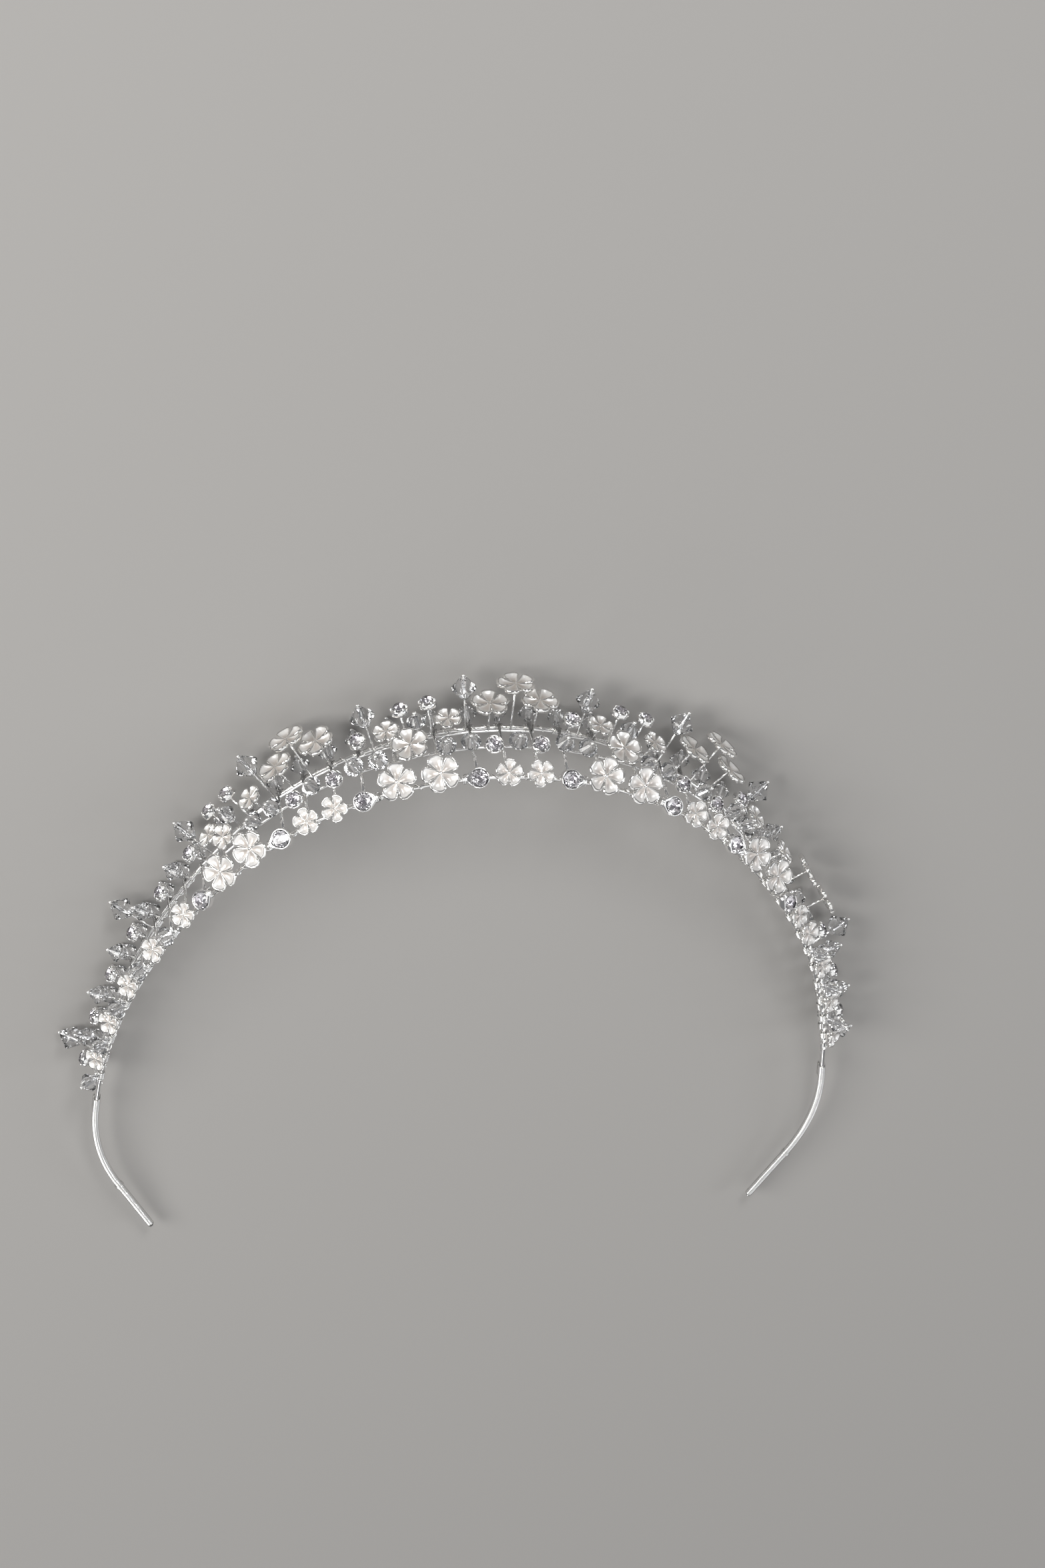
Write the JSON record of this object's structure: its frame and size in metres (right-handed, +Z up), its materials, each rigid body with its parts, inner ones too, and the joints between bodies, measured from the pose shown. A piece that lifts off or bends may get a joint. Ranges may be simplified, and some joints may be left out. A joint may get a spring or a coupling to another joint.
{
  "type": "diadem",
  "caption": "Arched bridal headband of two silver wires with cast flowers, faceted crystals, and round and teardrop stones on short stems.",
  "frame": {"origin": "middle of the underside of the bounding box, on the surface that the diadem lies on", "axes": "+Z up, to the front side of the diadem; +Y to the crown of the arch; +X to the right side as seen from the front"},
  "size_m": [0.1637, 0.1412, 0.023],
  "materials": {
    "band_wire": "polished silver-plated wire, 0.9 mm",
    "winding": "fine silver-plated wire wound turn by turn",
    "stem_wire": "bright silver-plated wire",
    "flower": "cast metal, satin in the petals and polished at the rims",
    "setting": "cast metal, polished",
    "crystal": "clear faceted crystal",
    "stone": "clear faceted stone with a foiled back"
  },
  "bodies": {
    "root": {"back_crystals": "crystal", "back_wire": "band_wire", "front_crystals": "crystal", "front_flower_1": "flower", "front_flower_2": "flower", "front_flower_3": "flower", "front_flower_4": "flower", "front_flower_5": "flower", "front_flower_6": "flower", "front_flower_7": "flower", "front_flower_8": "flower", "front_wire": "band_wire", "left_winding": "winding", "middle_flower_1": "flower", "middle_flower_2": "flower", "right_winding": "winding", "round_stones": "stone", "small_flowers": "flower", "stem_frame_1": "stem_wire", "stem_frame_2": "stem_wire", "stem_frame_3": "stem_wire", "stem_frame_4": "stem_wire", "stem_frame_5": "stem_wire", "stem_frame_6": "stem_wire", "tall_crystal_1": "crystal", "tall_crystal_10": "crystal", "tall_crystal_2": "crystal", "tall_crystal_3": "crystal", "tall_crystal_4": "crystal", "tall_crystal_5": "crystal", "tall_crystal_6": "crystal", "tall_crystal_7": "crystal", "tall_crystal_8": "crystal", "tall_crystal_9": "crystal", "teardrop_setting_1": "setting", "teardrop_setting_2": "setting", "teardrop_setting_3": "setting", "teardrop_setting_4": "setting", "teardrop_setting_5": "setting", "teardrop_setting_6": "setting", "teardrop_setting_7": "setting", "teardrop_setting_8": "setting", "teardrop_stones": "stone", "top_flower_1": "flower", "top_flower_10": "flower", "top_flower_11": "flower", "top_flower_2": "flower", "top_flower_3": "flower", "top_flower_4": "flower", "top_flower_5": "flower", "top_flower_6": "flower", "top_flower_7": "flower", "top_flower_8": "flower", "top_flower_9": "flower"}
  },
  "joints": []
}
